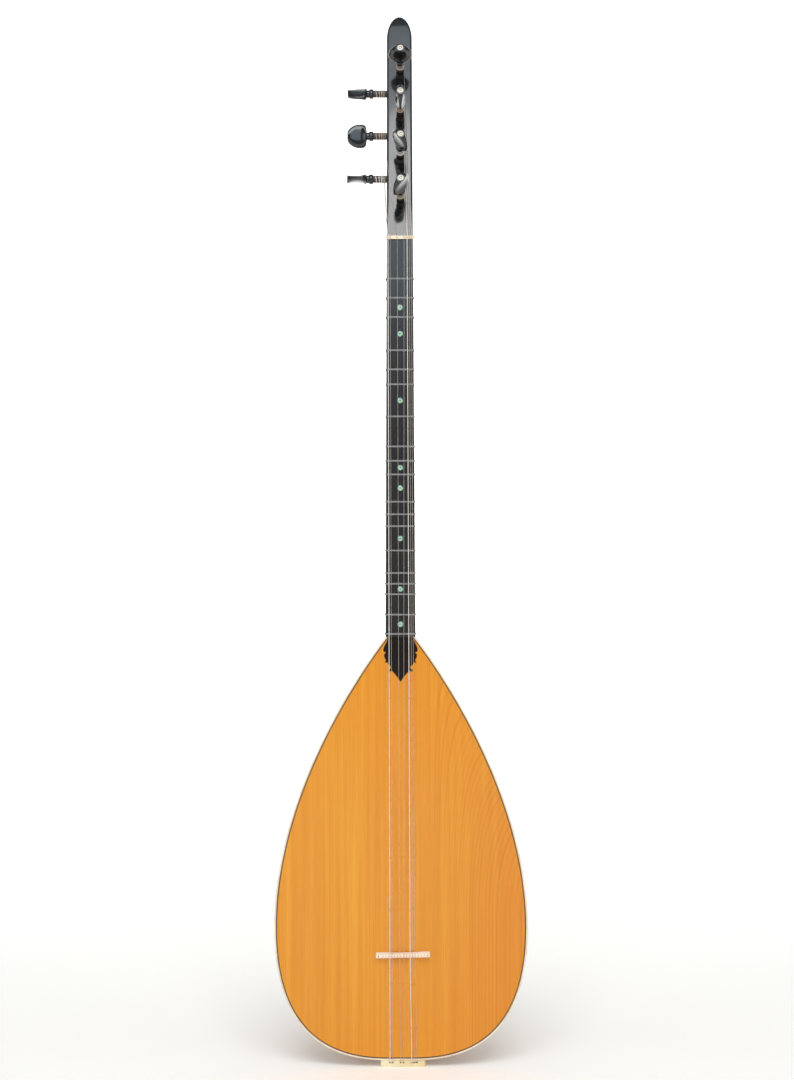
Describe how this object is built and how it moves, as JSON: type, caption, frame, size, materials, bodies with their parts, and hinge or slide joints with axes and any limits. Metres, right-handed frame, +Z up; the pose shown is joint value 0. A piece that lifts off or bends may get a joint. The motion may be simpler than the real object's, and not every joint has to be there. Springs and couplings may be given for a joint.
{
  "type": "short-neck baglama lute",
  "caption": "Long-necked lute with a deep stave-built bowl, flat soundboard, tied movable frets, floating bridge, tailpiece, tilted headstock and turning friction pegs.",
  "frame": {"origin": "on the lower face of the tailpiece, on the body's plane of symmetry, 8 mm behind the tailpiece's front", "axes": "+Z up along the neck, -Y out of the soundboard's face, +X to the right as seen from the front"},
  "size_m": [0.2516, 0.2276, 1.0651],
  "materials": {
    "spruce": "honey-orange gloss lacquer over straight grain",
    "walnut": "dark brown gloss lacquer",
    "maple": "bare sanded wood",
    "ebony": "polished black-brown wood",
    "lacquer": "mirror-gloss black lacquer",
    "bone": "polished cream bone",
    "boxwood": "pale satin wood",
    "rosewood": "dark brown satin wood",
    "nylon": "translucent nylon line",
    "steel": "bright drawn wire"
  },
  "bodies": {
    "instrument": {"stave_01": "walnut", "stave_02": "walnut", "stave_03": "walnut", "stave_04": "walnut", "stave_05": "walnut", "stave_06": "walnut", "stave_07": "walnut", "stave_08": "walnut", "stave_09": "walnut", "stave_10": "walnut", "stave_11": "walnut", "neck_block": "maple", "end_block": "maple", "lower_brace": "maple", "upper_brace": "maple", "soundboard": "spruce", "inlay_leaf": "ebony", "binding": "bone", "purfling": "rosewood", "neck": "rosewood", "fingerboard": "ebony", "nut": "bone", "headstock": "lacquer", "tailpiece": "boxwood", "string_1": "steel", "string_2": "steel", "string_3": "steel", "string_4": "steel", "string_5": "steel", "string_6": "steel", "string_7": "steel"},
    "bridge": {"bridge": "boxwood"},
    "peg_front_1": {"peg_front_1": "ebony"},
    "peg_front_2": {"peg_front_2": "ebony"},
    "peg_front_3": {"peg_front_3": "ebony"},
    "peg_front_4": {"peg_front_4": "ebony"},
    "peg_side_1": {"peg_side_1": "ebony"},
    "peg_side_2": {"peg_side_2": "ebony"},
    "peg_side_3": {"peg_side_3": "ebony"},
    "fret_01": {"fret_01": "nylon"},
    "fret_02": {"fret_02": "nylon"},
    "fret_03": {"fret_03": "nylon"},
    "fret_04": {"fret_04": "nylon"},
    "fret_05": {"fret_05": "nylon"},
    "fret_06": {"fret_06": "nylon"},
    "fret_07": {"fret_07": "nylon"},
    "fret_08": {"fret_08": "nylon"},
    "fret_09": {"fret_09": "nylon"},
    "fret_10": {"fret_10": "nylon"},
    "fret_11": {"fret_11": "nylon"},
    "fret_12": {"fret_12": "nylon"},
    "fret_13": {"fret_13": "nylon"},
    "fret_14": {"fret_14": "nylon"},
    "fret_15": {"fret_15": "nylon"},
    "fret_16": {"fret_16": "nylon"},
    "fret_17": {"fret_17": "nylon"},
    "fret_18": {"fret_18": "nylon"},
    "fret_19": {"fret_19": "nylon"}
  },
  "joints": [
    {"name": "bridge_slide", "type": "slide", "parent": "instrument", "child": "bridge", "axis": [0, 0, 1], "range_m": [-0.003, 0.003]},
    {"name": "peg_front_1_turn", "type": "hinge", "parent": "instrument", "child": "peg_front_1", "pos_m": [0.0008, 0.00808, 0.86368], "axis": [0, -0.9367, 0.3502], "continuous": true},
    {"name": "peg_front_2_turn", "type": "hinge", "parent": "instrument", "child": "peg_front_2", "pos_m": [0.0008, 0.02559, 0.91052], "axis": [0, -0.9367, 0.3502], "continuous": true},
    {"name": "peg_front_3_turn", "type": "hinge", "parent": "instrument", "child": "peg_front_3", "pos_m": [0.0008, 0.0431, 0.95735], "axis": [0, -0.9367, 0.3502], "continuous": true},
    {"name": "peg_front_4_turn", "type": "hinge", "parent": "instrument", "child": "peg_front_4", "pos_m": [0.0008, 0.06062, 1.00418], "axis": [0, -0.9367, 0.3502], "continuous": true},
    {"name": "peg_side_1_turn", "type": "hinge", "parent": "instrument", "child": "peg_side_1", "pos_m": [-0.013, 0.02708, 0.88594], "axis": [-1, 0, 0], "continuous": true},
    {"name": "peg_side_2_turn", "type": "hinge", "parent": "instrument", "child": "peg_side_2", "pos_m": [-0.013, 0.04459, 0.93277], "axis": [-1, 0, 0], "continuous": true},
    {"name": "peg_side_3_turn", "type": "hinge", "parent": "instrument", "child": "peg_side_3", "pos_m": [-0.013, 0.0621, 0.97961], "axis": [-1, 0, 0], "continuous": true},
    {"name": "fret_01_slide", "type": "slide", "parent": "instrument", "child": "fret_01", "axis": [0, 0, 1], "range_m": [-0.003, 0.003]},
    {"name": "fret_02_slide", "type": "slide", "parent": "instrument", "child": "fret_02", "axis": [0, 0, 1], "range_m": [-0.003, 0.003]},
    {"name": "fret_03_slide", "type": "slide", "parent": "instrument", "child": "fret_03", "axis": [0, 0, 1], "range_m": [-0.003, 0.003]},
    {"name": "fret_04_slide", "type": "slide", "parent": "instrument", "child": "fret_04", "axis": [0, 0, 1], "range_m": [-0.003, 0.003]},
    {"name": "fret_05_slide", "type": "slide", "parent": "instrument", "child": "fret_05", "axis": [0, 0, 1], "range_m": [-0.003, 0.003]},
    {"name": "fret_06_slide", "type": "slide", "parent": "instrument", "child": "fret_06", "axis": [0, 0, 1], "range_m": [-0.003, 0.003]},
    {"name": "fret_07_slide", "type": "slide", "parent": "instrument", "child": "fret_07", "axis": [0, 0, 1], "range_m": [-0.003, 0.003]},
    {"name": "fret_08_slide", "type": "slide", "parent": "instrument", "child": "fret_08", "axis": [0, 0, 1], "range_m": [-0.003, 0.003]},
    {"name": "fret_09_slide", "type": "slide", "parent": "instrument", "child": "fret_09", "axis": [0, 0, 1], "range_m": [-0.003, 0.003]},
    {"name": "fret_10_slide", "type": "slide", "parent": "instrument", "child": "fret_10", "axis": [0, 0, 1], "range_m": [-0.003, 0.003]},
    {"name": "fret_11_slide", "type": "slide", "parent": "instrument", "child": "fret_11", "axis": [0, 0, 1], "range_m": [-0.003, 0.003]},
    {"name": "fret_12_slide", "type": "slide", "parent": "instrument", "child": "fret_12", "axis": [0, 0, 1], "range_m": [-0.003, 0.003]},
    {"name": "fret_13_slide", "type": "slide", "parent": "instrument", "child": "fret_13", "axis": [0, 0, 1], "range_m": [-0.003, 0.003]},
    {"name": "fret_14_slide", "type": "slide", "parent": "instrument", "child": "fret_14", "axis": [0, 0, 1], "range_m": [-0.003, 0.003]},
    {"name": "fret_15_slide", "type": "slide", "parent": "instrument", "child": "fret_15", "axis": [0, 0, 1], "range_m": [-0.003, 0.003]},
    {"name": "fret_16_slide", "type": "slide", "parent": "instrument", "child": "fret_16", "axis": [0, 0, 1], "range_m": [-0.003, 0.003]},
    {"name": "fret_17_slide", "type": "slide", "parent": "instrument", "child": "fret_17", "axis": [0, 0, 1], "range_m": [-0.003, 0.003]},
    {"name": "fret_18_slide", "type": "slide", "parent": "instrument", "child": "fret_18", "axis": [0, 0, 1], "range_m": [-0.003, 0.003]},
    {"name": "fret_19_slide", "type": "slide", "parent": "instrument", "child": "fret_19", "axis": [0, 0, 1], "range_m": [-0.0015, 0.003]}
  ]
}
